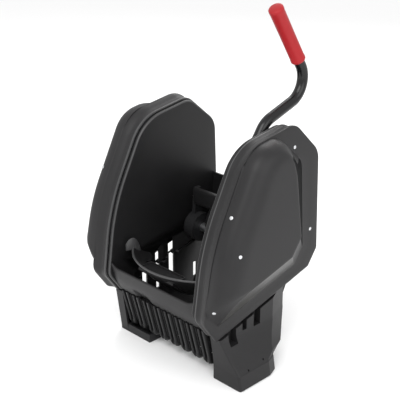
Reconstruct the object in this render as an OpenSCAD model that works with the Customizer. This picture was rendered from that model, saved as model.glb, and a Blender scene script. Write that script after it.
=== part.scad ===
// Down-press mop wringer: two side housings over a slotted basket, with a pull lever,
// a link drive in the right housing and a press plate that swings down over a front bowl.
// +X is the right side, -Y the front, +Z up. The origin is on the floor, under the middle.

/* [Housings] */
// Half width over the flat of the covers
half_w = 209; // [205:1:215]
// Inner face of each side panel, from the middle
panel_in = 120; // [116:1:122]
// Seam between side panel and cover, from the middle
seam_x = 131; // [129:1:133]
// Plane of the flat flange round each cover's raised field
flange_x = 164; // [160:1:170]
// Height of the housings' top corner
top_z = 480; // [470:1:486]
// Wall of the moulded shells
wall = 3.5; // [3:0.25:4.5]

/* [Basket] */
// Number of front tines
tines = 8; // [6:1:8]
// Distance between tines
tine_pitch = 31.8; // [31:0.1:32]
// Width of a tine
tine_w = 20; // [16:1:22]
// Outer face of the left leg, from the middle
left_leg_x = 141; // [138:1:144]
// Height of the front bowl's rim
bowl_z = 195; // [190:1:198]

/* [Press] */
// Height of the press shaft
press_z = 195; // [192:1:198]
// Throw of the two cranks
throw = 36; // [30:1:38]
// Diameter of both shafts
shaft_d = 20; // [18:1:22]

/* [Lever] */
// Height of the lever's pivot
lever_z = 397; // [390:1:402]
// Plane of the bent tube, from the middle
lever_x = 104; // [102:1:105]
// Outer diameter of the tube
tube_d = 22; // [20:0.5:24]
// Outer diameter of the grip
grip_d = 30; // [28:0.5:32]

/* [Hidden] */

// Moves the side plane so that the origin lies under the middle of the whole depth
middle = [0, -8.6, 0];

$fn = 48;
fit = 0.05;
plastic = [0.2, 0.2, 0.21];
dark = [0.12, 0.12, 0.13];
zinc = [0.75, 0.76, 0.78];
black = [0.05, 0.05, 0.05];
red = [0.72, 0.1, 0.12];

// Corners of the housing's side outline (Y, Z), from the lowest one up the front
low_front = [-125, 100];
front_low = [-159, 148];
front_mid = [-138, 292];
front_top = [-52, 459];
rear_top = [79, top_z];
rear_high = [154, 415];
rear_low = [163, 200];
low_rear = [138, 166];
// The lower edge rises to the rear at this rate
rise = (low_rear[1] - low_front[1]) / (low_rear[0] - low_front[0]);
// How far the covers swell past the seam at the front and top
swell = 7;

press_y = 80;
lever_y = 0;
// Direction of the cranks at rest, above the rearward horizontal
crank_a = 10;
crank_x = 138;
crank_t = 8;
rod_t = 6;
pin_d = 10;
bush_d = 28;

// Front face of the basket: its top edge, its waist under the apron, and its foot line
apron_top = [-152, 168];
apron_low = [-124, 105];
foot_y = -112;
foot_back = -11;
tine_foot = [-103, 28];
tine_x0 = -107.5;
wall_t = 4;
rear_foot_y = 62;
rear_foot_d = 16;
rib_end = -58;

bowl_r = 148;
bowl_depth = 75;
bowl_c = -1;
bowl_half = 116;
bowl_back = -84;

// Bend points of the lever's centre line, in its own plane (Y, Z)
lever_p = [[lever_y, lever_z], [57, 479], [191, 523], [77, 694]];
bend_r = [0, 50, 46, 0];
grip_len = 131;

// Drain slots of the left panel: [start along Y, width, height of the top]
panel_slots = [[-69.6, 13.6, 150], [-30.4, 10, 168], [7.3, 14.8, 180]];
// Drain slots of the basket's left wall below them: [start along Y, width, bottom, height]
wall_slots = [[-53.6, 14, 60, 140], [-13.6, 10.4, 60, 140], [24.6, 15, 60, 140],
  [99.6, 11, 50, 36]];

function unit(v) = v / norm(v);

// Arc that rounds corner v, between the neighbours p and n, to the radius r
function fillet(p, v, n, r, steps = 6) =
  let (a = unit(p - v), b = unit(n - v), half = acos(a * b) / 2,
       c = v + unit(a + b) * r / sin(half),
       s = v + a * r / tan(half) - c, e = v + b * r / tan(half) - c,
       a0 = atan2(s[1], s[0]), d = atan2(e[1], e[0]) - a0,
       sweep = d > 180 ? d - 360 : d < -180 ? d + 360 : d)
  [for (i = [0 : steps]) let (t = a0 + sweep * i / steps) c + r * [cos(t), sin(t)]];

// Side outline of a housing, set in by the four given amounts
function outline(front, top, rear, bottom) =
  let (v = [low_front + [front, bottom + rise * front], front_low + [front, bottom * 0.6],
            front_mid + [front, 0], front_top + [front * 0.6, -top],
            rear_top - [rear * 0.65, top], rear_high - [rear, rear * 0.1],
            rear_low + [-rear, bottom - rise * rear], low_rear + [-rear, bottom - rise * rear]],
       r = [8, 28, 600, 90, 42, 45, 10, 8])
  [for (i = [0 : len(v) - 1])
    each fillet(v[(i + len(v) - 1) % len(v)], v[i], v[(i + 1) % len(v)], r[i])];

// A plate between x0 and x1 with its face given in the side plane (Y, Z)
module side_plate(x0, x1, points) {
  translate([x0, 0, 0]) rotate([90, 0, 90]) linear_extrude(x1 - x0) polygon(points);
}

// A cylinder along X from x0 to x1 through (y, z)
module x_rod(x0, x1, y, z, d) {
  translate([x0, y, z]) rotate([0, 90, 0]) cylinder(d = d, h = x1 - x0);
}

module mirrored(on) {
  if (on) mirror([1, 0, 0]) children();
  else children();
}

// Side panels: shallow trays whose flat face lines the hopper
module panel_tray() {
  difference() {
    side_plate(panel_in, seam_x, outline(2, 2, 2, 2));
    side_plate(panel_in + wall, seam_x + 1, outline(2 + wall, 2 + wall, 2 + wall, 2 + wall));
  }
}

module press_boss() {
  x_rod(panel_in + wall - 0.5, seam_x + 3, press_y, press_z, bush_d + 14);
}

module left_panel() {
  translate(middle) color(plastic) mirror([1, 0, 0]) difference() {
    union() {
      panel_tray();
      press_boss();
    }
    x_rod(panel_in - 1, seam_x + 4, press_y, press_z, bush_d);
    for (s = panel_slots)
      translate([panel_in - 1, s[0], 90]) cube([seam_x - panel_in + 2, s[1], s[2] - 90]);
  }
}

module right_panel() {
  translate(middle) color(plastic) difference() {
    union() {
      panel_tray();
      press_boss();
      x_rod(panel_in + wall - 0.5, seam_x + 3, lever_y, lever_z, bush_d + 18);
    }
    x_rod(panel_in - 1, seam_x + 4, press_y, press_z, bush_d);
    x_rod(panel_in - 1, seam_x + 4, lever_y, lever_z, bush_d);
  }
}

// Covers: a base that swells past the seam, a flat flange at the rear and bottom, and a
// raised field that rounds over at the front and top
module cover_body(g) {
  hull() {
    side_plate(seam_x, seam_x + 2, outline(g, g, g, g));
    side_plate(seam_x + 20, seam_x + 22, outline(g - swell, g - swell, g, g));
    side_plate(flange_x - 1 - g, flange_x - g, outline(g - swell, g - swell, 3 + g, 6 + g));
  }
  hull() {
    side_plate(flange_x - 6 - g, flange_x - 5 - g, outline(g - 5, g - 5, 46 + g, 31 + g));
    side_plate(half_w - 26 - g, half_w - 25 - g, outline(g - 3, g - 3, 76 + g, 60 + g));
    side_plate(half_w - 11 - g, half_w - 10 - g, outline(8 + g, 8 + g, 94 + g, 78 + g));
    side_plate(half_w - 1 - g, half_w - g, outline(26 + g, 26 + g, 106 + g, 92 + g));
  }
}

// Screw places on a cover: [x of the surface, y, z]
screw_at = [[flange_x, 76, 439], [half_w - 33, -106, 351], [flange_x, 135, 252],
  [half_w - 3, -116, 288], [half_w - 29, -152, 172]];
screw_d = 9;
shank_d = 4;

module cover_shell() {
  difference() {
    cover_body(0);
    translate([-0.01, 0, 0]) cover_body(wall);
    for (s = screw_at) {
      x_rod(s[0] - 12, s[0] + 20, s[1], s[2], screw_d + 0.2);
      x_rod(s[0] - 32, s[0] - 10, s[1], s[2], shank_d + 0.4);
    }
  }
}

module cover_screws() {
  for (s = screw_at) {
    x_rod(s[0] - 8, s[0] - 1, s[1], s[2], screw_d);
    x_rod(s[0] - 30, s[0] - 8, s[1], s[2], shank_d);
  }
}

// The left cover's floor is open above the drain slots
module left_cover() {
  from = -75;
  to = 110;
  translate(middle) color(plastic) mirrored(true) difference() {
    cover_shell();
    side_plate(seam_x + 2, flange_x - wall - 0.1,
      [[from, edge_z(from) - 6], [to, edge_z(to) - 6], [to, edge_z(to) + 8],
       [from, edge_z(from) + 8]]);
  }
}

module right_cover() { translate(middle) color(plastic) cover_shell(); }
module left_cover_screws() { translate(middle) color(zinc) mirrored(true) cover_screws(); }
module right_cover_screws() { translate(middle) color(zinc) cover_screws(); }

// Hopper back: an upright wall between the panels and a sloping floor below it
module back_wall() {
  translate(middle) color(dark) {
    side_plate(-panel_in + 0.2, panel_in - 0.2,
      [[150, 297], [146, 297], [146, 181], [72, 32], [72, 28], [76, 28], [150, 178]]);
    side_plate(-left_leg_x + wall_t + 0.2, panel_in - 0.2,
      [[75, 32], [rib_end + 0.2, 32], [rib_end + 0.2, 28], [75, 28]]);
  }
}

// Sloping band across the front of the hopper
module front_apron() {
  translate(middle) color(plastic) difference() {
    side_plate(-panel_in + 0.2, panel_in - 0.2,
      [apron_top, apron_top + [wall_t, 0], apron_low + [wall_t, 0], apron_low]);
    translate([-66, apron_low[0] - 6, apron_low[1] - 1]) cube([44, 16, 14]);
  }
}

// One tine: a slanting front bar that turns back into a round-bottomed rib
module tine() {
  difference() {
    union() {
      side_plate(-tine_w / 2, tine_w / 2,
        [apron_low + [0.5, -0.3], apron_low + [8, -0.3], tine_foot + [8, 0], tine_foot + [-1, 0]]);
      translate([0, tine_foot[0], tine_foot[1]]) rotate([-90, 0, 0])
        cylinder(d = tine_w, h = rib_end - tine_foot[0]);
      translate([0, tine_foot[0] - 0.5, tine_foot[1]]) rotate([-90, 0, 0])
        cylinder(d = tine_w, h = 6);
    }
    translate([-3, tine_foot[0] - 14, tine_foot[1] - 4]) cube([6, 26, 42]);
    translate([-6, tine_foot[0] + 12, tine_foot[1] - 5])
      cube([12, rib_end - tine_foot[0] - 18, 20]);
  }
}

// Tines side by side, with a cross rail behind their fronts
module front_grate() {
  rail_half = 118;
  translate(middle) color(dark) {
    difference() {
      for (i = [0 : tines - 1]) translate([tine_x0 + i * tine_pitch, 0, 0]) tine();
      // Clearance for the lower corner of the right panel
      translate([panel_in - 0.2, apron_low[0] - 20, 96]) cube([20, 60, 20]);
    }
    side_plate(-rail_half, rail_half, [[-115.6, 104], [-110.6, 104], [-107.3, 92], [-112.3, 92]]);
  }
}

// Height of the housings' lower edge at a place along Y
function edge_z(y) = low_front[1] + rise * (y - low_front[0]);

module leg_slot(y, z, w, h) {
  translate([flange_x - 10, y, z]) cube([30, w, h]);
}

// Left side of the basket: a slotted wall with a ledge along its top and a strip in front
module left_side_wall() {
  back = 138;
  x0 = -left_leg_x;
  front_z = edge_z(apron_low[0]);
  translate(middle) color(plastic) difference() {
    union() {
      side_plate(x0, x0 + wall_t,
        [[apron_low[0], front_z - 1], [back, edge_z(back) - 1], [back, 60],
         [back - 30, 24], [foot_back + 30, 24], [foot_back + 30, 6.2], [foot_y, 6.2]]);
      side_plate(x0, -panel_in - 0.2,
        [[apron_low[0], front_z - 3], [apron_low[0] + 5, front_z - 3], [foot_y + 5, 6.2],
         [foot_y, 6.2]]);
      side_plate(x0, -panel_in,
        [[apron_low[0], front_z - 6], [back, edge_z(back) - 6], [back, edge_z(back) - 1],
         [apron_low[0], front_z - 1]]);
    }
    for (s = wall_slots) translate([x0 - 10, s[0], s[2]]) cube([12 + wall_t, s[1], s[3]]);
    // The ledge is open between each slot of the panel and the one below it
    for (i = [0 : len(panel_slots) - 1]) {
      start = panel_slots[i][0];
      translate([x0 + wall_t, start, 90])
        cube([30, wall_slots[i][0] + wall_slots[i][1] - start, 60]);
    }
  }
}

// Hollow foot under the left front corner
module left_foot() {
  right = -51;
  translate(middle) color(dark) difference() {
    translate([-left_leg_x, foot_y, 0]) cube([left_leg_x + right, foot_back - foot_y, 17.6]);
    translate([-left_leg_x + 25, foot_y + 4, 4])
      cube([left_leg_x + right - 29, foot_back - foot_y - 8, 20]);
    translate([-left_leg_x - 1, foot_y - 1, 6]) cube([22, foot_back - foot_y + 5, 14]);
  }
}

// Right leg: a hollow box that flares out towards its foot
leg_back = 60;
module leg_body(g) {
  inner = 134;
  outer_top = flange_x + 2;
  hull() {
    side_plate(inner + g, inner + 1 + g,
      [[foot_y + g, 32], [apron_low[0] + g, 92 - g],
       [leg_back + 30 - g, edge_z(leg_back + 30) - 6 - g], [leg_back + 30 - g, 92],
       [foot_back - g, 32]]);
    side_plate(outer_top - 1 - g, outer_top - g,
      [[foot_y + g, 32], [apron_low[0] + g, 98 - g], [leg_back - 30 - g, edge_z(leg_back - 30) - g],
       [leg_back - 30 - g, 92], [foot_back - g, 32]]);
    side_plate(half_w - 20 - g, half_w - 19 - g,
      [[foot_y + g, 34], [foot_y + g, 50], [30 - g, 50], [30 - g, 44], [foot_back - g, 32]]);
    translate([half_w - 6 - g, foot_y + g, 32]) cube([1, foot_back - foot_y - 2 * g, 1]);
  }
  hull() {
    translate([inner + g, foot_y + g, g]) cube([1, foot_back - foot_y - 2 * g, 33 - g]);
    translate([half_w - 1 - g, foot_y + g, g]) cube([1, foot_back - foot_y - 2 * g, 4]);
    translate([half_w - 6 - g, foot_y + g, 32]) cube([1, foot_back - foot_y - 2 * g, 1]);
  }
}

module right_leg() {
  translate(middle) color(plastic) difference() {
    leg_body(0);
    leg_body(wall);
    leg_slot(-101, 78, 21, 38);
    leg_slot(-62, 97, 12, 32);
    leg_slot(-30, 93, 18, 42);
  }
}

// Two short feet at the back of the basket
module rear_feet() {
  translate(middle) color(dark) for (s = [-1, 1])
    translate([s * 90 - 18, rear_foot_y, 0])
      cube([36, rear_foot_d, 27.8]);
}

// Front bowl: the front part of a shallow round dish, with two wings at its ends
module front_bowl() {
  steps = 12;
  dish = [for (i = [0 : steps]) let (t = i / steps)
    [bowl_r * t, bowl_z - bowl_depth * (1 - pow(t, 3))]];
  under = [for (i = [steps : -1 : 0]) let (t = i / steps)
    [bowl_r * t, bowl_z - 4 - bowl_depth * (1 - pow(t, 3))]];
  translate(middle) color(dark) intersection() {
    translate([0, bowl_c, 0]) rotate_extrude($fn = 96) polygon(concat(dish, under));
    union() {
      translate([-bowl_half, -200, 0]) cube([2 * bowl_half, 200 + bowl_back, 300]);
      for (s = [-1, 1])
        translate([s * (bowl_half - 12) - 12, -200, 0]) cube([24, 200 + bowl_back + 34, 300]);
    }
  }
}

// Raised rectangular rest in the front of the bowl
module bowl_pad() {
  translate(middle) color(dark) difference() {
    translate([-52, -136, 156]) cube([100, 34, 30]);
    translate([-49, -133, 150]) cube([94, 28, 33]);
    // The underside follows the bowl
    translate([0, bowl_c, 0]) rotate_extrude($fn = 96) polygon([for (i = [0 : 12])
      [bowl_r * i / 12, bowl_z + 0.05 - bowl_depth * (1 - pow(i / 12, 3))],
      [bowl_r, 0], [0, 0]]);
  }
}

// Tie bar that joins the two panels under the bowl
module tie_bar() {
  translate(middle) color(dark) x_rod(-panel_in, panel_in, -98, 111, 12);
}

// Press shaft across the hopper
module press_shaft() {
  translate(middle) color(zinc) x_rod(-156, crank_x + crank_t, press_y, press_z, shaft_d);
}

module flanged_bush(y, z) {
  difference() {
    union() {
      x_rod(panel_in - 3, seam_x + 5, y, z, bush_d);
      x_rod(panel_in - 3, panel_in - 0.2, y, z, bush_d + 8);
    }
    x_rod(panel_in - 4, seam_x + 6, y, z, shaft_d + 2 * fit);
  }
}

module left_shaft_bushing() {
  translate(middle) color(black) mirrored(true) flanged_bush(press_y, press_z);
}

module right_shaft_bushing() { translate(middle) color(black) flanged_bush(press_y, press_z); }
module lever_bushing() { translate(middle) color(black) flanged_bush(lever_y, lever_z); }

// Press arms: wide hubs on the shaft with straight bars up to the plate
arm_x = 100;
arm_t = 9;
arm_top = 284;
hub_d = 64;
module press_arm() {
  difference() {
    union() {
      x_rod(arm_x - 14, arm_x + arm_t + 4, press_y, press_z, hub_d);
      side_plate(arm_x, arm_x + arm_t,
        [[press_y - 13, press_z], [press_y + 13, press_z], [press_y + 8, arm_top],
         [press_y - 6, arm_top]]);
    }
    x_rod(arm_x - 15, arm_x + arm_t + 6, press_y, press_z, shaft_d);
  }
}

module left_press_arm() { translate(middle) color(dark) mirrored(true) press_arm(); }
module right_press_arm() { translate(middle) color(dark) press_arm(); }

// Press plate: a beam between the arms that carries a domed plunger with a flared brim
plunger_r = 58;
plunger_z = press_z + 27;
module press_plate() {
  brim_y = press_y - 20;
  translate(middle) color(dark) {
    side_plate(-arm_x + 0.2, arm_x - 0.2,
      [[press_y - 18, arm_top - 32], [press_y - 4, arm_top - 32], [press_y - 2, arm_top + 3],
       [press_y - 14, arm_top + 3]]);
    intersection() {
      translate([0, brim_y + 3, plunger_z]) scale([1, 0.55, 1]) sphere(plunger_r - 6, $fn = 64);
      translate([-100, brim_y - 60, 100]) cube([200, 62, 200]);
    }
    translate([0, brim_y + 6, plunger_z]) rotate([90, 0, 0])
      cylinder(r1 = plunger_r, r2 = plunger_r - 5, h = 6, $fn = 64);
  }
}

module plate_screws() {
  translate(middle) color(zinc) for (s = [-1, 1]) for (z = [235, 262])
    mirrored(s < 0) x_rod(arm_x + arm_t + 0.2, arm_x + arm_t + 3.5, press_y, z, 9);
}

// Link drive: two equal cranks and a straight rod, a parallelogram
function crank_end(y, z) = [y + throw * cos(crank_a), z + throw * sin(crank_a)];

module crank(y, z) {
  e = crank_end(y, z);
  difference() {
    hull() {
      x_rod(crank_x, crank_x + crank_t, y, z, 34);
      x_rod(crank_x, crank_x + crank_t, e[0], e[1], 20);
    }
    x_rod(crank_x - 1, crank_x + crank_t + 1, y, z, shaft_d);
    x_rod(crank_x - 1, crank_x + crank_t + 1, e[0], e[1], pin_d);
  }
}

module press_crank() { translate(middle) color(zinc) crank(press_y, press_z); }
module lever_crank() { translate(middle) color(zinc) crank(lever_y, lever_z); }

module link_rod() {
  a = crank_end(lever_y, lever_z);
  b = crank_end(press_y, press_z);
  x0 = crank_x + crank_t + 0.6;
  translate(middle) color(zinc) difference() {
    hull() {
      x_rod(x0, x0 + rod_t, a[0], a[1], 20);
      x_rod(x0, x0 + rod_t, b[0], b[1], 20);
    }
    x_rod(x0 - 1, x0 + rod_t + 1, a[0], a[1], pin_d + 2 * fit);
    // The lower eye is left loose where the closed linkage is opened
    x_rod(x0 - 1, x0 + rod_t + 1, b[0], b[1], pin_d + 1.2);
  }
}

module link_pin(y, z) {
  x0 = crank_x + crank_t;
  x_rod(crank_x, x0 + rod_t + 3, y, z, pin_d);
  x_rod(x0 + rod_t + 1.2, x0 + rod_t + 3.2, y, z, pin_d + 6);
}

module lever_link_pin() {
  e = crank_end(lever_y, lever_z);
  translate(middle) color(zinc) link_pin(e[0], e[1]);
}

module press_link_pin() {
  e = crank_end(press_y, press_z);
  translate(middle) color(zinc) link_pin(e[0], e[1]);
}

module lever_shaft() {
  translate(middle) color(zinc) x_rod(lever_x - 14, crank_x + crank_t, lever_y, lever_z, shaft_d);
}

// Direction from one bend point of the lever to the next
function leg_dir(i) = (lever_p[i + 1] - lever_p[i]) / norm(lever_p[i + 1] - lever_p[i]);
// Straight stretch of tube in the lever's plane
module run(p, d, len, dia) {
  translate([lever_x, p[0], p[1]]) rotate([atan2(d[1], d[0]) - 90, 0, 0]) cylinder(d = dia, h = len);
}

// Centre line of the bent tube, from inside the hub to inside the grip
tube_path = [
  lever_p[0] + leg_dir(0) * 16,
  each fillet(lever_p[0], lever_p[1], lever_p[2], bend_r[1], 10),
  each fillet(lever_p[1], lever_p[2], lever_p[3], bend_r[2], 16),
  lever_p[3] - leg_dir(2) * 6];
tube_sides = 24;

hub_len = 46;
module lever_tube() {
  n = len(tube_path);
  function along(i) = unit(tube_path[min(i + 1, n - 1)] - tube_path[max(i - 1, 0)]);
  ring = [for (i = [0 : n - 1]) each [for (k = [0 : tube_sides - 1])
    let (a = 360 * k / tube_sides, c = tube_path[i], d = along(i), w = tube_d / 2 * sin(a))
      [lever_x + tube_d / 2 * cos(a), c[0] - d[1] * w, c[1] + d[0] * w]]];
  sides = [for (i = [0 : n - 2]) each [for (k = [0 : tube_sides - 1])
    let (j = (k + 1) % tube_sides, q = i * tube_sides)
      [q + k, q + tube_sides + k, q + tube_sides + j, q + j]]];
  ends = [[for (k = [0 : tube_sides - 1]) k],
    [for (k = [tube_sides - 1 : -1 : 0]) (n - 1) * tube_sides + k]];
  translate(middle) color(black) polyhedron(ring, concat(sides, ends));
}

module lever_grip() {
  last = norm(lever_p[3] - lever_p[2]);
  translate(middle) color(red) difference() {
    run(lever_p[2] + leg_dir(2) * (last - grip_len), leg_dir(2), grip_len, grip_d);
    run(lever_p[2] + leg_dir(2) * (last - grip_len - 1), leg_dir(2), grip_len - 5, tube_d);
  }
}

socket_d = tube_d + 7;
module lever_hub() {
  translate(middle) color(dark) difference() {
    union() {
      x_rod(lever_x - 14, lever_x + 12, lever_y, lever_z, 42);
      run(lever_p[0] + leg_dir(0) * 19, leg_dir(0), hub_len - 19, socket_d);
    }
    x_rod(lever_x - 15, lever_x + 13, lever_y, lever_z, shaft_d);
    run(lever_p[0] + leg_dir(0) * 16, leg_dir(0), hub_len, tube_d);
    run(bolt_at + bolt_dir * (tube_d / 2 - 1), bolt_dir, 12, bolt_d + 0.2);
  }
}

// Clamp screw through the side of the hub's socket, down to the tube
bolt_d = 7;
bolt_at = lever_p[0] + leg_dir(0) * 34;
bolt_dir = [-leg_dir(0)[1], leg_dir(0)[0]];
module clamp_bolt() {
  translate(middle) color(zinc) {
    run(bolt_at + bolt_dir * (tube_d / 2 + 0.2), bolt_dir, 6, bolt_d);
    run(bolt_at + bolt_dir * (socket_d / 2 + 0.2), bolt_dir, 5, bolt_d + 6);
  }
}

// Torsion spring round the press shaft in the left housing, with one leg on its pin
spring_r = 15;
wire_d = 3;
coils = 4;
spring_x = -seam_x - 8;
module return_spring() {
  translate(middle) color(zinc) {
    for (i = [0 : coils - 1])
      translate([spring_x - i * (wire_d - 0.3), press_y, press_z]) rotate([0, 90, 0])
        rotate_extrude($fn = 64) translate([spring_r, 0]) circle(d = wire_d, $fn = 16);
    translate([spring_x, press_y + spring_r, press_z]) cylinder(d = wire_d, h = 40);
  }
}

module spring_pin() {
  translate(middle) color(zinc)
    x_rod(-seam_x - 16, -panel_in - wall, press_y + spring_r - 4.9, press_z + 32, 6);
}

module spring_collar() {
  translate(middle) color(zinc) difference() {
    x_rod(-155, -149.4, press_y, press_z, 34);
    x_rod(-156, -148, press_y, press_z, shaft_d);
  }
}

// Rubber bumper on the back wall, behind the press plate's upper edge
module stop_bumper() {
  translate(middle) color(black) for (s = [-1, 1])
    translate([s * 60, press_y - 1.5, 262]) rotate([-90, 0, 0]) cylinder(d = 16, h = 147.5 - press_y);
}

left_panel();
right_panel();
left_cover();
right_cover();
left_cover_screws();
right_cover_screws();
back_wall();
front_apron();
front_grate();
left_side_wall();
left_foot();
right_leg();
rear_feet();
front_bowl();
bowl_pad();
tie_bar();
press_shaft();
left_shaft_bushing();
right_shaft_bushing();
left_press_arm();
right_press_arm();
press_plate();
plate_screws();
press_crank();
link_rod();
lever_link_pin();
press_link_pin();
lever_crank();
lever_shaft();
lever_bushing();
lever_hub();
lever_tube();
lever_grip();
clamp_bolt();
return_spring();
spring_pin();
spring_collar();
stop_bumper();
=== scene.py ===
import math

import bmesh
import bpy
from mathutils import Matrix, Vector


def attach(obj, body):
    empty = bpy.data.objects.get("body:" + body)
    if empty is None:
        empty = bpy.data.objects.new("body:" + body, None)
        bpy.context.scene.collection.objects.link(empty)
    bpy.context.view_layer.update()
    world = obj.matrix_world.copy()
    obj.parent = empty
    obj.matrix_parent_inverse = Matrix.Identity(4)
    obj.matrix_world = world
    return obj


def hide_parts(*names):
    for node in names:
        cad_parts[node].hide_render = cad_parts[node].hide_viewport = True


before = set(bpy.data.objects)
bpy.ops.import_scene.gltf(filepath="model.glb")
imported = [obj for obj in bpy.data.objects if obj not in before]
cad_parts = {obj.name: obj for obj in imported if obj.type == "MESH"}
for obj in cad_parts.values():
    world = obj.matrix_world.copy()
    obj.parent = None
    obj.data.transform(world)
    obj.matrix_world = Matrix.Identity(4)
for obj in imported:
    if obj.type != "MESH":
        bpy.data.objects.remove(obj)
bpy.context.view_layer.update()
MM = 0.001

# ---------------------------------------------------------------- sizes, in millimetres
HALF_W = 209.0
PANEL_IN = 120.0
SEAM_X = 131.0
FLANGE_X = 164.0
COVER_WALL = 2.6
MIDDLE = 8.6  # the side plane's own zero lies this far in front of the origin
CORNERS = [(-125, 100), (-159, 148), (-138, 292), (-52, 459), (79, 480), (154, 415), (163, 200),
           (138, 166)]
RADII = [8, 28, 600, 90, 42, 45, 10, 8]
RISE = (166 - 100) / (138 + 125)
LEVER_X = 104.0
TUBE_R = 11.0
GRIP_R = 15.0
GRIP_LEN = 131.0
LEVER_BENDS = [(0, 397), (57, 479), (191, 523), (77, 694)]
BEND_R = [0, 50, 46, 0]
APRON_TOP = (-152, 168)
APRON_LOW = (-124, 105)
TINES = 8
TINE_X0 = -107.5
TINE_PITCH = 31.8
TINE_HALF = 10.0
BOWL_R = 148.0
BOWL_Z = 195.0
BOWL_DEPTH = 75.0


# ---------------------------------------------------------------- materials
def new_material(name):
    mat = bpy.data.materials.new(name)
    mat.use_nodes = True
    tree = mat.node_tree
    return mat, tree, tree.nodes["Principled BSDF"]


def add_node(tree, kind, **values):
    node = tree.nodes.new(kind)
    for key, value in values.items():
        if key in node.inputs:
            node.inputs[key].default_value = value
        else:
            setattr(node, key, value)
    return node


def moulded(name, low, high, rough, grain=0.25, grain_scale=900.0, patch_scale=9.0, shine=0.27):
    """Plastic or rubber: soft patches of colour, uneven gloss and a fine moulded grain."""
    mat, tree, shader = new_material(name)
    link = tree.links.new
    where = add_node(tree, "ShaderNodeTexCoord")
    patch = add_node(tree, "ShaderNodeTexNoise", Scale=patch_scale, Detail=4.0, Roughness=0.6)
    fine = add_node(tree, "ShaderNodeTexNoise", Scale=grain_scale, Detail=2.0, Roughness=0.5)
    ramp = add_node(tree, "ShaderNodeValToRGB")
    ramp.color_ramp.elements[0].position = 0.3
    ramp.color_ramp.elements[0].color = (*low, 1)
    ramp.color_ramp.elements[1].position = 0.7
    ramp.color_ramp.elements[1].color = (*high, 1)
    gloss = add_node(tree, "ShaderNodeMapRange")
    gloss.inputs["To Min"].default_value = rough - 0.07
    gloss.inputs["To Max"].default_value = rough + 0.09
    bump = add_node(tree, "ShaderNodeBump", Strength=grain, Distance=0.0004)
    shader.inputs["Specular IOR Level"].default_value = shine
    for texture in (patch, fine):
        link(where.outputs["Object"], texture.inputs["Vector"])
    link(patch.outputs["Fac"], ramp.inputs["Fac"])
    link(ramp.outputs["Color"], shader.inputs["Base Color"])
    link(patch.outputs["Fac"], gloss.inputs["Value"])
    link(gloss.outputs["Result"], shader.inputs["Roughness"])
    link(fine.outputs["Fac"], bump.inputs["Height"])
    link(bump.outputs["Normal"], shader.inputs["Normal"])
    return mat


def metal(name, low, high, rough, metallic=1.0, streak=(40.0, 40.0, 300.0)):
    """Metal with faint streaks and uneven gloss."""
    mat, tree, shader = new_material(name)
    link = tree.links.new
    where = add_node(tree, "ShaderNodeTexCoord")
    stretch = add_node(tree, "ShaderNodeMapping")
    stretch.inputs["Scale"].default_value = streak
    noise = add_node(tree, "ShaderNodeTexNoise", Scale=1.0, Detail=5.0)
    ramp = add_node(tree, "ShaderNodeValToRGB")
    ramp.color_ramp.elements[0].color = (*low, 1)
    ramp.color_ramp.elements[1].color = (*high, 1)
    gloss = add_node(tree, "ShaderNodeMapRange")
    gloss.inputs["To Min"].default_value = rough - 0.06
    gloss.inputs["To Max"].default_value = rough + 0.1
    link(where.outputs["Object"], stretch.inputs["Vector"])
    link(stretch.outputs["Vector"], noise.inputs["Vector"])
    link(noise.outputs["Fac"], ramp.inputs["Fac"])
    link(ramp.outputs["Color"], shader.inputs["Base Color"])
    link(noise.outputs["Fac"], gloss.inputs["Value"])
    link(gloss.outputs["Result"], shader.inputs["Roughness"])
    shader.inputs["Metallic"].default_value = metallic
    shader.inputs["Specular IOR Level"].default_value = 0.5 if metallic else 0.36
    return mat


CHARCOAL = moulded("charcoal_plastic", (0.0125, 0.0121, 0.0127), (0.0165, 0.016, 0.0168), 0.46)
# Painted reflection: the bevel below the field is coloured paler, standing in for the bright floor it
# reflects.
FLOOR_REFLECTION_BEVEL = moulded("painted_reflection_bevel", (0.040, 0.039, 0.0375), (0.048, 0.0468, 0.045), 0.34, 0.1)
# Painted shade: the bevel behind the field is coloured dark and nearly without gloss, standing in for
# shade.
PAINTED_SHADE_BEVEL = moulded("painted_shade_bevel", (0.012, 0.012, 0.0123), (0.015, 0.015, 0.0153), 0.8, 0.1,
                     shine=0.02)
# Painted highlight: panel rims, the cover's lip and the bowl's rim bead are coloured lighter to stand
# in for the light they catch.
PAINTED_HIGHLIGHT_RIM = moulded("rim_painted_highlight", (0.05, 0.05, 0.051), (0.06, 0.06, 0.061), 0.3, 0.1)
DARK = moulded("dark_plastic", (0.012, 0.012, 0.013), (0.017, 0.017, 0.018), 0.48)
# Painted shade: the inside parts are coloured darker than the charcoal, standing in for the shade that
# falls inside the wringer.
PAINTED_SHADE_INNER = moulded("inner_painted_shade", (0.0085, 0.0083, 0.0088), (0.0115, 0.0113, 0.0118), 0.44)
BEARING = moulded("bearing_plastic", (0.016, 0.016, 0.016), (0.024, 0.024, 0.024), 0.35)
RUBBER = moulded("black_rubber", (0.013, 0.013, 0.013), (0.02, 0.02, 0.02), 0.75, 0.4)
RED = moulded("red_grip", (0.30, 0.009, 0.012), (0.37, 0.013, 0.018), 0.42, 0.12, 500.0, 14.0)
TUBE = metal("black_tube", (0.003, 0.003, 0.0034), (0.006, 0.006, 0.0065), 0.22, 0.0)
ZINC = metal("zinc_steel", (0.60, 0.61, 0.63), (0.78, 0.79, 0.80), 0.3)


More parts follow.
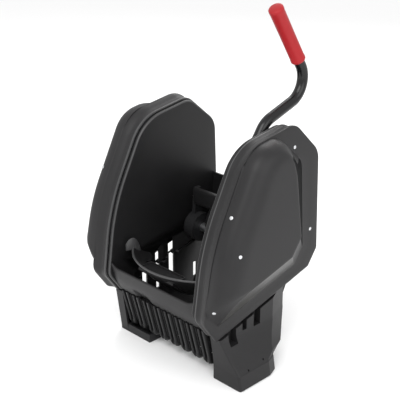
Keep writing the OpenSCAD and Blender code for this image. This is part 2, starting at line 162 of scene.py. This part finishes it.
# ---------------------------------------------------------------- mesh helpers
def finish_piece(name, bm, mat, body, replaced=(), sharp=35.0):
    """Turns a bmesh in millimetres into an object that rides on a body."""
    bmesh.ops.remove_doubles(bm, verts=bm.verts, dist=0.01)
    bmesh.ops.recalc_face_normals(bm, faces=bm.faces)
    for edge in bm.edges:
        if len(edge.link_faces) == 2 and edge.calc_face_angle(0) > math.radians(sharp):
            edge.smooth = False
    for face in bm.faces:
        face.smooth = True
    bmesh.ops.scale(bm, vec=(MM, MM, MM), verts=bm.verts)
    mesh = bpy.data.meshes.new(name)
    bm.to_mesh(mesh)
    bm.free()
    mesh.materials.append(mat)
    obj = bpy.data.objects.new(name, mesh)
    bpy.context.scene.collection.objects.link(obj)
    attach(obj, body)
    if replaced:
        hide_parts(*replaced)
    return obj


def thicken(obj, depth):
    """Gives an open sheet its wall, and applies it."""
    shell = obj.modifiers.new("wall", "SOLIDIFY")
    shell.thickness = depth * MM
    shell.offset = -1
    graph = bpy.context.evaluated_depsgraph_get()
    made = bpy.data.meshes.new_from_object(obj.evaluated_get(graph))
    obj.modifiers.clear()
    obj.data = made
    return obj


def loft(rings, cap_start=False, cap_end=False, closed=True, into=None):
    """Quads between rings of the same number of points."""
    bm = into or bmesh.new()
    rows = [[bm.verts.new(p) for p in ring] for ring in rings]
    count = len(rows[0])
    for a, b in zip(rows, rows[1:]):
        for i in range(count if closed else count - 1):
            j = (i + 1) % count
            bm.faces.new((a[i], a[j], b[j], b[i]))
    if cap_start:
        bm.faces.new(list(reversed(rows[0])))
    if cap_end:
        bm.faces.new(rows[-1])
    return bm


def unit(v):
    size = math.hypot(*v)
    return (v[0] / size, v[1] / size)


def fillet(p, v, n, r, steps):
    """Points of the arc that rounds corner v between p and n."""
    a = unit((p[0] - v[0], p[1] - v[1]))
    b = unit((n[0] - v[0], n[1] - v[1]))
    half = math.acos(max(-1, min(1, a[0] * b[0] + a[1] * b[1]))) / 2
    m = unit((a[0] + b[0], a[1] + b[1]))
    c = (v[0] + m[0] * r / math.sin(half), v[1] + m[1] * r / math.sin(half))
    t = r / math.tan(half)
    start = math.atan2(v[1] + a[1] * t - c[1], v[0] + a[0] * t - c[0])
    end = math.atan2(v[1] + b[1] * t - c[1], v[0] + b[0] * t - c[0])
    sweep = (end - start + math.pi) % (2 * math.pi) - math.pi
    return [(c[0] + r * math.cos(start + sweep * i / steps),
             c[1] + r * math.sin(start + sweep * i / steps))
            for i in range(steps + 1)]


def widest(p, v, n):
    """Largest corner radius that uses less than half of both edges."""
    a, b = (p[0] - v[0], p[1] - v[1]), (n[0] - v[0], n[1] - v[1])
    cosine = (a[0] * b[0] + a[1] * b[1]) / (math.hypot(*a) * math.hypot(*b))
    return 0.47 * min(math.hypot(*a), math.hypot(*b)) * math.tan(math.acos(max(-1,
                                                                               min(1, cosine))) / 2)


def outline(front, top, rear, bottom, steps=14):
    """Side outline of a housing, set in by the four given amounts, as (y, z) in the origin's frame."""
    c = CORNERS
    shift = min(1.25 * rear, 62.0)
    v = [(c[0][0] + front, c[0][1] + bottom + RISE * front),
         (c[1][0] + front, c[1][1] + bottom * 0.6),
         (c[2][0] + front, c[2][1]), (c[3][0] + front * 0.6, c[3][1] - top),
         (c[4][0] - shift, c[4][1] - top - 0.16 * shift),
         (c[5][0] - rear * 1.1, c[5][1] - rear * 0.1),
         (c[6][0] - rear, c[6][1] + bottom - RISE * rear),
         (c[7][0] - rear, c[7][1] + bottom - RISE * rear)]
    points = []
    for i, r in enumerate(RADII):
        behind, ahead = v[i - 1], v[(i + 1) % len(v)]
        points += fillet(behind, v[i], ahead, min(r, widest(behind, v[i], ahead)), steps)
    return [(y - MIDDLE, z) for y, z in points]


def mirror_x(bm):
    bmesh.ops.scale(bm, vec=(-1, 1, 1), verts=bm.verts)
    bmesh.ops.reverse_faces(bm, faces=bm.faces)


def tube(path, radius, sides=32, closed_path=False):
    """Round tube along 3-D points; the radius is one number or one per point."""
    bm = bmesh.new()
    count = len(path)
    radii = radius if isinstance(radius, list) else [radius] * count
    rings = []
    side = None
    for i in range(count):
        ahead = Vector(path[(i + 1) % count] if closed_path else path[min(i + 1, count - 1)])
        behind = Vector(path[i - 1] if closed_path or i else path[0])
        along = (ahead - behind).normalized()
        if side is None:
            side = along.orthogonal().normalized()
        side = (side - along * side.dot(along)).normalized()
        up = along.cross(side)
        centre = Vector(path[i])
        rings.append([centre + (side * math.cos(a) + up * math.sin(a)) * radii[i]
                      for a in (2 * math.pi * k / sides for k in range(sides))])
    if closed_path:
        rings.append(rings[0])
        return loft(rings, into=bm)
    return loft(rings, True, True, into=bm)


def block(bm, low, high, round_off=0.0, segments=2):
    """Box with softened edges, in millimetres and the origin's frame."""
    made = bmesh.ops.create_cube(bm, size=1.0)["verts"]
    for v in made:
        v.co = Vector([low[k] + (v.co[k] + 0.5) * (high[k] - low[k]) for k in range(3)])
    if round_off:
        edges = list(dict.fromkeys(e for v in made for e in v.link_edges))
        bmesh.ops.bevel(bm, geom=edges, offset=round_off, segments=segments, affect="EDGES",
                        profile=0.5)
    return bm


def cut(obj, cutters):
    """Takes the cutters' solids out of the object, and applies it."""
    bmesh.ops.scale(cutters, vec=(MM, MM, MM), verts=cutters.verts)
    bmesh.ops.recalc_face_normals(cutters, faces=cutters.faces)
    mesh = bpy.data.meshes.new("cutters")
    cutters.to_mesh(mesh)
    cutters.free()
    tool = bpy.data.objects.new("cutters", mesh)
    bpy.context.scene.collection.objects.link(tool)
    step = obj.modifiers.new("cut", "BOOLEAN")
    step.operation = "DIFFERENCE"
    step.solver = "EXACT"
    step.object = tool
    graph = bpy.context.evaluated_depsgraph_get()
    made = bpy.data.meshes.new_from_object(obj.evaluated_get(graph))
    obj.modifiers.clear()
    obj.data = made
    bpy.data.objects.remove(tool)
    bpy.data.meshes.remove(mesh)


# ---------------------------------------------------------------- housings
# Each level of a cover's rim and flange: x, and its inset at the front, top, rear and bottom
RIM_LEVELS = [
    (131.0, 3.4, 3.4, 3.4, 3.4), (131.0, 0.2, 0.2, 0.2, 0.2), (131.5, -0.9, -0.9, 0, 0),
    (132.8, -1.5, -1.5, 0, 0), (134.6, -1.5, -1.5, 0, 0), (138.0, -0.9, -0.9, 0, 0),
    (142.0, -0.2, -0.2, 0, 0),
    (146.0, -0.5, -0.5, 0, 0), (149.5, -1.8, -1.8, 0, 0), (153.0, -3.6, -3.6, 0, 0),
    (157.0, -5.0, -5.0, 0, 0),
    (160.5, -5.9, -5.9, 0.6, 0.8), (162.6, -6.3, -6.3, 1.8, 2.6), (163.7, -6.4, -6.4, 3.4, 4.8),
    (164.0, -6.3, -6.5, 5.5, 7.5), (164.0, -5.2, -6.5, 26, 19), (164.0, -4.3, -6.5, 47.5, 32.5),
    (164.3, -4.3, -6.5, 49.3, 34.3)]
# The raised field: x, its inset at the front and top, and how far up its bevel the level lies
FIELD_LEVELS = [
    (165.2, -4.3, 0.03), (170.0, -4.3, 0.13), (176.0, -4.4, 0.27), (183.0, -3.4, 0.42),
    (189.0, -1.8, 0.555),
    (194.5, 2.6, 0.68), (199.0, 8.2, 0.78), (202.6, 14.5, 0.86), (205.3, 21.5, 0.92),
    (207.2, 29.0, 0.965),
    (208.5, 38.0, 0.993), (209.0, 48.0, 1.02), (209.0, 60.0, 1.08)]
BEVEL_FOOT = (49.0, 34.5)
BEVEL_RUN = (61.5, 67.0)
COVER_LEVELS = RIM_LEVELS + [(x, f, f if f < 0 else 0.55 * f, BEVEL_FOOT[0] + BEVEL_RUN[0] * u,
                              BEVEL_FOOT[1] + BEVEL_RUN[1] * u)
                             for x, f, u in FIELD_LEVELS]
PANEL_LEVELS = [
    (131.0, 7, 7, 7, 7), (131.0, 4.6, 4.6, 4.6, 4.6), (130.0, 3.2, 3.2, 3.2, 3.2),
    (128.0, 2.4, 2.4, 2.4, 2.4),
    (125.0, 1.6, 1.6, 1.6, 1.6), (122.8, 1.5, 1.5, 1.5, 1.5), (121.3, 2.4, 2.4, 2.4, 2.4),
    (120.4, 4.2, 4.2, 4.2, 4.2), (120.0, 7.0, 7.0, 7.0, 7.0), (120.0, 30, 30, 30, 30)]
# Drain slots of the left panel: start along y, width and top, in the origin's frame
PANEL_SLOTS = [(-78.2, 13.6, 150), (-39.0, 10.0, 168), (-1.3, 14.8, 180)]
OPEN_FLOOR = (-83.0, 101.0)


def shell_from(levels, cap):
    rings = [[(x, y, z) for y, z in outline(f, t, r, b)] for x, f, t, r, b in levels]
    return loft(rings, cap_end=cap)


def housing(side):
    left = side == "left"
    cover = shell_from(COVER_LEVELS, True)
    panel = shell_from(PANEL_LEVELS, True)
    if left:
        mirror_x(cover)
        mirror_x(panel)
    skin = finish_piece(f"{side}_cover_skin", cover, CHARCOAL, "housing",
                        [f"{side}_cover"], 33)
    thicken(skin, COVER_WALL)
    paint_bevel_light_and_shade(skin)
    wall = finish_piece(f"{side}_panel_skin", panel, PAINTED_SHADE_INNER, "housing",
                        [f"{side}_panel"], 50)
    thicken(wall, COVER_WALL)
    paint_rim_highlight(wall)
    if left:
        open_drains(skin, wall)
    return skin


# Outward directions of the straight bevels behind and below the field
FIELD_RISE = HALF_W - FLANGE_X
REAR_BEVEL = Vector((BEVEL_RUN[0] / FIELD_RISE, 1.0, 0.1)).normalized()
LOWER_BEVEL = Vector((BEVEL_RUN[1] / FIELD_RISE, RISE, -1.0)).normalized()


def paint_rim_highlight(wall):
    """The rounded edge of a panel is smoother, and coloured lighter as a painted highlight."""
    wall.data.materials.append(PAINTED_HIGHLIGHT_RIM)
    for face in wall.data.polygons:
        if PANEL_IN + 0.05 < abs(face.center.x) / MM < PANEL_IN + 3 and abs(face.normal.x) < 0.96:
            face.material_index = 1


def paint_bevel_light_and_shade(skin):
    """Paints light and shade on the bevels: the one below the field paler than the cover, as a painted
    reflection of the floor, and the one behind it darker, as painted shade.
    """
    skin.data.materials.append(FLOOR_REFLECTION_BEVEL)
    skin.data.materials.append(PAINTED_SHADE_BEVEL)
    skin.data.materials.append(PAINTED_HIGHLIGHT_RIM)
    for face in skin.data.polygons:
        x = abs(face.center.x) / MM
        # The cover's lip gets the painted highlight.
        if SEAM_X < x < SEAM_X + 3:
            face.material_index = 3
        if FLANGE_X + 0.8 < x < HALF_W - 0.8:
            outward = Vector((abs(face.normal.x), face.normal.y, face.normal.z))
            # Lower bevel faces get the painted floor reflection, rear bevel faces the painted shade.
            if outward.dot(LOWER_BEVEL) > 0.975:
                face.material_index = 1
            elif outward.dot(REAR_BEVEL) > 0.93:
                face.material_index = 2


def lower_edge(y):
    return CORNERS[0][1] + RISE * (y + MIDDLE - CORNERS[0][0])


def open_drains(cover, panel):
    """Cuts the slots of the left panel and the open floor of the left cover."""
    slots = bmesh.new()
    for y, width, top in PANEL_SLOTS:
        block(slots, (-134, y, 90), (-116, y + width, top), 1.2)
    cut(panel, slots)
    floor = bmesh.new()
    y0, y1 = OPEN_FLOOR
    section = [(y0, lower_edge(y0) - 8), (y1, lower_edge(y1) - 8), (y1, lower_edge(y1) + 7),
               (y0, lower_edge(y0) + 7)]
    loft([[(x, y, z) for y, z in section] for x in (-159.5, -133.5)], True, True, into=floor)
    cut(cover, floor)


COVERS = {side: housing(side) for side in ("left", "right")}

# Places close to the surface of the right cover, in the origin's frame
SCREWS = [(164, 68, 439), (177, -119, 353), (164, 127, 252), (206, -124, 287), (182, -167, 175)]
SCREW_R = 3.7
# Shift in x and y of the left cover's second screw from its mirrored place
LEFT_SHIFT = (9, 8)


def screw_head(bm, place, normal, sides=28):
    """Pan head with a cross recess, looking along the given normal."""
    centre = Vector(place)
    side = normal.orthogonal().normalized()
    up = normal.cross(side)
    rings = []
    for lift, share in ((-4, 1), (-0.3, 1), (0.1, 0.94), (0.4, 0.7), (0.5, 0.3)):
        rings.append([centre + normal * lift + (side * math.cos(a) + up * math.sin(a)) * SCREW_R * share
                      for a in (2 * math.pi * k / sides for k in range(sides))])
    loft(rings, True, True, into=bm)
    for long, short in ((2.4, 0.45), (0.45, 2.4)):
        corners = [side * a * long + up * b * short for a,
                   b in ((1, 1), (-1, 1), (-1, -1), (1, -1))]
        loft([[centre + normal * lift + c for c in corners] for lift in (0.35, 0.6)], True, True,
             into=bm)


def screws(side):
    sign = -1 if side == "left" else 1
    heads = bmesh.new()
    for i, (x, y, z) in enumerate(SCREWS):
        if side == "left" and i == 1:
            x, y = x + LEFT_SHIFT[0], y + LEFT_SHIFT[1]
        _, place, normal, _ = COVERS[side].closest_point_on_mesh(Vector((sign * x, y, z)) * MM)
        screw_head(heads, place / MM, normal)
    finish_piece(f"{side}_screw_heads", heads, ZINC, "housing",
                 [f"{side}_cover_screws"])


screws("left")
screws("right")


# ---------------------------------------------------------------- basket
def slope_point(t, out=0.0):
    """Point on the front slope: t runs from the apron's lower edge (0) to the tine's foot (1)."""
    a, b = APRON_LOW, (-103, 24)
    d = unit((b[0] - a[0], b[1] - a[1]))
    y = a[0] + (b[0] - a[0]) * t + d[1] * out
    z = a[1] + (b[1] - a[1]) * t - d[0] * out
    return (y - MIDDLE, z)


APRON_BOW = 5.0
APRON_WALL = 3.5
RECESS_X = (-66, -26)
RECESS_DEPTH = 6.0


def apron():
    """Band across the front, bowed outwards, with a recess at its left third."""
    bm = bmesh.new()
    half = PANEL_IN - 0.3
    columns = [-half + 2 * half * i / 96 for i in range(97)]
    steps = 20
    rows = []
    for x in columns:
        row = []
        for k in range(steps + 1):
            t = k / steps
            y = APRON_TOP[0] + (APRON_LOW[0] - APRON_TOP[0]) * t
            z = APRON_TOP[1] + (APRON_LOW[1] - APRON_TOP[1]) * t
            bow = APRON_BOW * math.sin(math.pi * t)
            dip = smooth_box(x, *RECESS_X, 5) * smooth_box(t, 0.62, 1.2, 0.08) * RECESS_DEPTH
            end = max(0.0, (abs(x) - half + 22) / 22)
            row.append((x, y - MIDDLE - (bow - dip) * 0.9,
                        z - (bow - dip) * 0.3 + 7 * end * end * (1 - t)))
        rows.append(row)
    loft(rows, closed=False, into=bm)
    piece = finish_piece("apron_skin", bm, CHARCOAL, "housing", ["front_apron"],
                         60)
    thicken(piece, APRON_WALL)


def smooth_box(v, low, high, soft):
    def ramp(u):
        u = max(0.0, min(1.0, u))
        return u * u * (3 - 2 * u)
    return ramp((v - low) / soft + 0.5) * ramp((high - v) / soft + 0.5)


# Half section of a tine, grooved down its middle: across, and out from its middle plane
GROOVED = [(-TINE_HALF, 1.0), (-9.4, -3.2), (-8.2, -4.4), (-4.4, -4.4), (-3.4, -3.6), (-3.0, 2.0)]
BACK = 3.8
RAIL_Z = 28.0
TURN_R = 9.0
RAIL_END = -67.0


def tine_section(turn):
    """Section of a tine; turn runs from 0 (flat, grooved) to 1 (round-bottomed)."""
    flat = GROOVED + [(-u, w) for u, w in reversed(GROOVED)] + [(TINE_HALF, BACK),
                                                                (-TINE_HALF, BACK)]
    round_off = [(-TINE_HALF * math.cos(math.pi * k / 11),
                  -TINE_HALF * math.sin(math.pi * k / 11)) for k in range(12)]
    round_off += [(TINE_HALF, BACK), (-TINE_HALF, BACK)]
    return [(a[0] + (b[0] - a[0]) * turn, a[1] + (b[1] - a[1]) * turn) for a,
            b in zip(flat, round_off)]


def tine_ring(x0, y, z, turn, scale=1.0):
    a = turn * math.pi / 2
    return [(x0 + u * scale, y + w * scale * math.cos(a),
             z + w * scale * math.sin(a) + 0.25 * w * scale * math.cos(a))
            for u, w in tine_section(turn)]


def tine(bm, x0):
    """Grooved bar down the slope that turns under into a round-bottomed rail."""
    rings = [tine_ring(x0, *slope_point(t), 0.0) for t in (-0.03, 0.2, 0.4, 0.6, 0.8)]
    foot = slope_point(0.83)
    for k in range(9):
        turn = k / 8
        a = turn * math.pi / 2
        drop = foot[1] - RAIL_Z
        rings.append(tine_ring(x0, foot[0] + TURN_R * (1 - math.cos(a)),
                               RAIL_Z + drop * (1 - math.sin(a)), turn))
    rings.append(tine_ring(x0, RAIL_END, RAIL_Z, 1.0))
    loft(rings, True, True, into=bm)


def grate():
    bm = bmesh.new()
    for i in range(TINES):
        tine(bm, TINE_X0 + i * TINE_PITCH)
    block(bm, (-118, -124, 92), (118, -116, 103), 1.0)
    for i in range(TINES - 1):
        # Thin web between neighbours, set back behind their fronts
        x = TINE_X0 + (i + 0.5) * TINE_PITCH
        for s in (-1, 1):
            rail = [(x + s * 3.6, *slope_point(t, -1.0)) for t in (0.02, 0.5, 0.86)]
            bmesh_join(bm, tube(rail, 1.2, 8))
    finish_piece("tine_grate", bm, PAINTED_SHADE_INNER, "housing", ["front_grate"], 40)


def bmesh_join(bm, other):
    mesh = bpy.data.meshes.new("join")
    other.to_mesh(mesh)
    other.free()
    bm.from_mesh(mesh)
    bpy.data.meshes.remove(mesh)


apron()
grate()


BOWL_Y = -9.6
BOWL_HALF = 115.5
BOWL_WALL = 3.0
BOWL_REAR = -92.6


def bowl_z(x, y):
    t = min(1.0, math.hypot(x, y - BOWL_Y) / BOWL_R)
    return BOWL_Z - BOWL_DEPTH * (1 - t ** 3)


def bowl_front(x):
    return BOWL_Y - math.sqrt(BOWL_R ** 2 - x * x)


def bowl_rear(x):
    """Rear edge of the bowl, which runs back a little way along the panels."""
    return BOWL_REAR + 33 * smooth_box(abs(x), 100, 130, 16)


def bowl():
    columns, steps = 120, 26
    rows = []
    for i in range(columns + 1):
        x = -BOWL_HALF + 2 * BOWL_HALF * i / columns
        front, rear = bowl_front(x), bowl_rear(x)
        rows.append([(x, front + (rear - front) * k / steps,
                      bowl_z(x, front + (rear - front) * k / steps))
                     for k in range(steps + 1)])
    piece = finish_piece("bowl_skin", loft(rows, closed=False), PAINTED_SHADE_INNER, "housing",
                         ["front_bowl"], 60)
    thicken(piece, BOWL_WALL)
    spread = [-BOWL_HALF + 2 * BOWL_HALF * i / 60 for i in range(61)]
    bead = tube([(x, bowl_front(x) + 1.0, BOWL_Z + 0.6) for x in spread], 2.3, 14)
    rear = tube([(x, bowl_rear(x) - 0.5, bowl_z(x, bowl_rear(x)) + 0.6) for x in spread], 1.8, 12)
    bmesh_join(bead, rear)
    for s in (-1, 1):
        bmesh_join(bead, wing(s))
    # The bowl's rim bead takes the painted highlight colour.
    finish_piece("bowl_rim", bead, PAINTED_HIGHLIGHT_RIM, "housing", (), 60)


def wing(s):
    """Rounded tab that rises from each end of the rim."""
    rings = []
    for k in range(21):
        t = k / 20
        y = -123 + 41 * t
        lift = 27 * math.sin(math.pi * (0.12 + 0.88 * t)) ** 0.7 if t < 1 else 0.0
        lean = 5 * math.sin(math.pi * t)
        x = s * (113 - lean)
        low = bowl_z(x, y) - 2
        top = max(low + 4, BOWL_Z + lift - 24 * t * t)
        rings.append([(x, y, low), (x + s * 3.4, y, low), (x + s * 3.4, y, top - 1.6),
                      (x + s * 1.7, y, top),
                      (x, y, top - 1.6)])
    return loft(rings, True, True)


def pad():
    """Raised tray in the front of the bowl, with a lip round it."""
    section = [(-144.5, 178), (-110.5, 151), (-110.5, 182), (-112, 184), (-143, 184), (-144.5, 182)]
    bm = loft([[(x, y, z) for y, z in section] for x in (-52, 48)], True, True)
    lip = []
    for cx, cy, a0 in ((44, -114.5, 0), (-48, -114.5, 90), (-48, -140.5, 180), (44, -140.5, 270)):
        lip += [(cx + 4 * math.cos(math.radians(a0 + a)), cy + 4 * math.sin(math.radians(a0 + a)),
                 184.6)
                for a in (0, 30, 60, 90)]
    bmesh_join(bm, tube(lip, 1.5, 10, True))
    finish_piece("bowl_pad_skin", bm, PAINTED_SHADE_INNER, "housing", ["bowl_pad"], 60)


bowl()
pad()


# ---------------------------------------------------------------- right leg
def leg_section(x0, x1, y0, y1, z, chamfer):
    """Section of the leg at height z, with a long chamfer at its outer rear corner."""
    corners = [(x1, y0), (x1, y1 - 1.65 * chamfer), (x1 - chamfer, y1 + 1.1 * chamfer),
               (x0, y1 + 1.1 * chamfer), (x0, y0)]
    ring = []
    for i, (v, r) in enumerate(zip(corners, (5, 3, 3, 3, 3))):
        ring += fillet(corners[i - 1], v, corners[(i + 1) % 5], r, 6)
    return [(x, y, z) for x, y in ring]


LEG_IN = 134.5
# Height, outer face, front, back and rear chamfer of each level
LEG_LEVELS = [(0.0, 207.4, -119.6, -20.6, 9), (1.6, 209.0, -120.4, -20.0, 9),
              (6.0, 208.6, -120.4, -20.0, 9),
              (31.0, 204.4, -120.4, -20.0, 9), (32.0, 203.0, -120.4, -19.6, 9),
              (34.0, 201.8, -120.5, -17.0, 10),
              (44.0, 195.0, -121.5, 12.0, 15), (50.0, 189.5, -122.5, 19.5, 18),
              (70.0, 177.0, -125.5, 36.0, 20),
              (90.0, 167.0, -129.5, 49.5, 20), (98.0, 165.0, -131.5, 51.0, 20)]
# y, z, width and height of each slot
LEG_SLOTS = [(-109.6, 80, 21, 38), (-70.6, 98, 12, 30), (-38.6, 95, 19, 44)]
# The slots are cut from outside the leg in to here
SLOT_X = (150, 215)
# y and z of the two small round holes
LEG_HOLES = [(-46.0, 38.0), (-91.0, 34.0)]


def right_leg():
    rings = [leg_section(LEG_IN, x1, y0, y1, z, c) for z, x1, y0, y1, c in LEG_LEVELS]
    top = leg_section(LEG_IN, 165.0, -132.0, 51.0, 98.0, 20)
    rings.append([(x, y, lower_edge(y) - 1.5) for x, y, _ in top])
    bm = loft(rings, True, True)
    leg = finish_piece("right_leg_skin", bm, CHARCOAL, "housing", ["right_leg"],
                       33)
    cutters = bmesh.new()
    for y, z, w, h in LEG_SLOTS:
        block(cutters, (SLOT_X[0], y, z), (SLOT_X[1], y + w, z + h), 1.5)
    for y, z in LEG_HOLES:
        made = bmesh.ops.create_cone(cutters, cap_ends=True, segments=20, radius1=2.0, radius2=2.0,
                                     depth=60)["verts"]
        for v in made:
            v.co = Vector((212 + v.co.z, y + v.co.x, z + v.co.y))
    cut(leg, cutters)


right_leg()


# ---------------------------------------------------------------- lever
def lever_path():
    b = LEVER_BENDS
    d0 = unit((b[1][0] - b[0][0], b[1][1] - b[0][1]))
    d2 = unit((b[3][0] - b[2][0], b[3][1] - b[2][1]))
    flat = [(b[0][0] + d0[0] * 16, b[0][1] + d0[1] * 16)]
    flat += fillet(b[0], b[1], b[2], BEND_R[1], 20)
    flat += fillet(b[1], b[2], b[3], BEND_R[2], 32)
    flat.append((b[3][0] - d2[0] * 6, b[3][1] - d2[1] * 6))
    return [(LEVER_X, y - MIDDLE, z) for y, z in flat], d2


# Distance back from the tip and radius of each ring of the grip
GRIP_RINGS = [(GRIP_LEN, 11.2), (GRIP_LEN, 14.2), (GRIP_LEN - 1, GRIP_R), (GRIP_LEN - 5, GRIP_R),
              (GRIP_LEN - 6, 14.5), (60, 14.4), (10, 14.6), (7, GRIP_R), (2.5, 14.8), (0.8, 13.6),
              (0, 11.0)]


def lever():
    path, d = lever_path()
    finish_piece("tube_skin", tube(path, TUBE_R, 40), TUBE, "lever", ["lever_tube"],
                 60)
    tip = LEVER_BENDS[3]
    rings = [(LEVER_X, tip[0] - d[0] * back - MIDDLE, tip[1] - d[1] * back) for back,
             _ in GRIP_RINGS]
    bm = tube_rings(rings, [r for _, r in GRIP_RINGS], Vector((0, d[0], d[1])))
    finish_piece("grip_skin", bm, RED, "lever", ["lever_grip"], 50)


def tube_rings(centres, radii, along, sides=40):
    side = Vector((1, 0, 0))
    up = along.cross(side)
    rings = [[Vector(c) + (side * math.cos(a) + up * math.sin(a)) * r
              for a in (2 * math.pi * k / sides for k in range(sides))] for c,
              r in zip(centres, radii)]
    return loft(rings, True, True)


lever()


# ---------------------------------------------------------------- press plate
BEAM = ((-99.5, 53.6, 252), (99.5, 67.4, 287))
PLUNGER_AT = (57.4, 222)
# Distance in front of the brim's back and radius of each ring of the plunger
PLUNGER_RINGS = [(0, 40), (0, 58), (1.5, 58.6), (4, 57.5), (6, 54), (8, 51), (16, 48.5), (23, 42),
                 (28, 33),
                 (31.5, 21), (33.4, 9)]


def press_plate():
    """Beam between the arms with a domed plunger and its flared brim in front."""
    bm = bmesh.new()
    block(bm, *BEAM, 3.5, 4)
    rings = []
    for out, radius in PLUNGER_RINGS:
        rings.append([(radius * math.cos(a), PLUNGER_AT[0] - out,
                       PLUNGER_AT[1] + radius * math.sin(a))
                      for a in (2 * math.pi * k / 72 for k in range(72))])
    dome = loft(rings, True, True)
    bmesh_join(bm, dome)
    finish_piece("press_plate_skin", bm, PAINTED_SHADE_INNER, "press", ["press_plate"], 40)


press_plate()

# ---------------------------------------------------------------- materials of the CAD nodes that stay
KEPT = {
    "back_wall": PAINTED_SHADE_INNER, "left_side_wall": CHARCOAL, "left_foot": DARK, "rear_feet": DARK,
    "tie_bar": DARK,
    "left_press_arm": DARK, "right_press_arm": DARK, "lever_hub": DARK, "stop_bumper": RUBBER,
    "left_shaft_bushing": BEARING, "right_shaft_bushing": BEARING, "lever_bushing": BEARING}
for node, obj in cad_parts.items():
    if obj.hide_render:
        continue
    mat = KEPT.get(node, ZINC)
    obj.data.materials.clear()
    obj.data.materials.append(mat)


# ------------------------------------------------------------ floor, light, camera, in metres
FLOOR_SIZE = 40
FLOOR_Z = -0.0004
LAMP_AIM = (0, 0, 0.3)
# Name, place, size and power of each lamp
LAMPS = [("key", (0.6, -1.6, 2.2), 1.6, 34), ("side", (2.2, -0.2, 1.3), 1.8, 18),
         ("back", (-1.0, 1.8, 2.0), 1.6, 22)]
LENS = 80.92
CAMERA_AT = (1.1864, -1.1968, 0.9842)
CAMERA_DOWN = 22.0
CAMERA_TURN = 45.3


def stage():
    bpy.ops.mesh.primitive_plane_add(size=FLOOR_SIZE, location=(0, 0, FLOOR_Z))
    floor = bpy.context.object
    floor.name = "floor"
    mat, tree, shader = new_material("pale_floor")
    shader.inputs["Base Color"].default_value = (0.93, 0.93, 0.93, 1)
    shader.inputs["Roughness"].default_value = 0.9
    floor.data.materials.append(mat)


def area_light(name, place, size, power):
    data = bpy.data.lights.new(name, "AREA")
    data.size = size
    data.energy = power
    lamp = bpy.data.objects.new(name, data)
    lamp.location = place
    lamp.rotation_euler = (Vector(LAMP_AIM) - Vector(place)).to_track_quat("-Z", "Y").to_euler()
    bpy.context.scene.collection.objects.link(lamp)


def lights():
    world = bpy.data.worlds.new("studio")
    world.use_nodes = True
    world.node_tree.nodes["Background"].inputs["Color"].default_value = (1, 1, 1, 1)
    world.node_tree.nodes["Background"].inputs["Strength"].default_value = 1.0
    bpy.context.scene.world = world
    for lamp in LAMPS:
        area_light(*lamp)


def camera():
    data = bpy.data.cameras.new("camera")
    data.lens = LENS
    data.sensor_width = 36.0
    data.clip_end = 50
    cam = bpy.data.objects.new("camera", data)
    cam.location = CAMERA_AT
    cam.rotation_euler = (math.radians(90 - CAMERA_DOWN), 0, math.radians(CAMERA_TURN))
    bpy.context.scene.collection.objects.link(cam)
    bpy.context.scene.camera = cam
    bpy.context.scene.view_settings.view_transform = "Standard"


stage()
lights()
camera()
